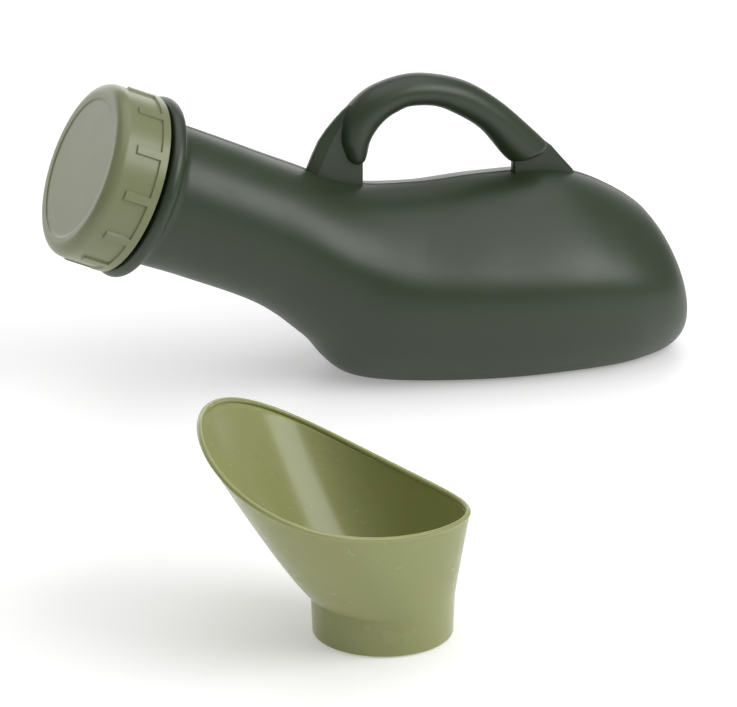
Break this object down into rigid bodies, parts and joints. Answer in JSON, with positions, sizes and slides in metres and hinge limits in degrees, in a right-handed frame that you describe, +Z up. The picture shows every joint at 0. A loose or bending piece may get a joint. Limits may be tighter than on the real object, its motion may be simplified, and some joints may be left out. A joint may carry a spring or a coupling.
{
  "type": "urine bottle",
  "caption": "Lying urine bottle with an upward-angled screw-capped neck, a flat base, an arched carrying handle, a ring seal and a loose adapter funnel.",
  "frame": {"origin": "middle of the flat base that the bottle rests on, on its plane of symmetry", "axes": "+X from the mouth towards the tail, +Z up, -Y towards the loose funnel"},
  "size_m": [0.28, 0.3511, 0.1293],
  "materials": {
    "bottle_hdpe": "satin blow-moulded polyethylene, dark olive green",
    "cap_plastic": "satin-gloss injection-moulded plastic, grey olive green",
    "seal_foam": "matt pale elastomer",
    "funnel_plastic": "smooth gloss injection-moulded plastic, light olive green"
  },
  "bodies": {
    "bottle": {"bottle_neck": "bottle_hdpe", "bottle_front": "bottle_hdpe", "bottle_tail": "bottle_hdpe", "handle": "bottle_hdpe"},
    "seal": {"cap_seal": "seal_foam"},
    "cap": {"screw_cap": "cap_plastic"},
    "adapter": {"funnel": "funnel_plastic"}
  },
  "joints": [
    {"name": "cap_lift", "type": "slide", "parent": "bottle", "child": "seal", "axis": [-0.9135, 0, 0.4067], "range_m": [0, 0.0401]},
    {"name": "cap_turn", "type": "hinge", "parent": "seal", "child": "cap", "pos_m": [-0.1548, 0, 0.0891], "axis": [-0.9135, 0, 0.4067], "range_deg": [0, 1440]},
    {"name": "funnel_lift", "type": "slide", "parent": "bottle", "child": "adapter", "axis": [0, 0, 1], "range_m": [0, 0.12]}
  ],
  "couplings": [
    {"joint": "cap_lift", "follows": "cap_turn", "m_per_rad": 0.0015915}
  ]
}
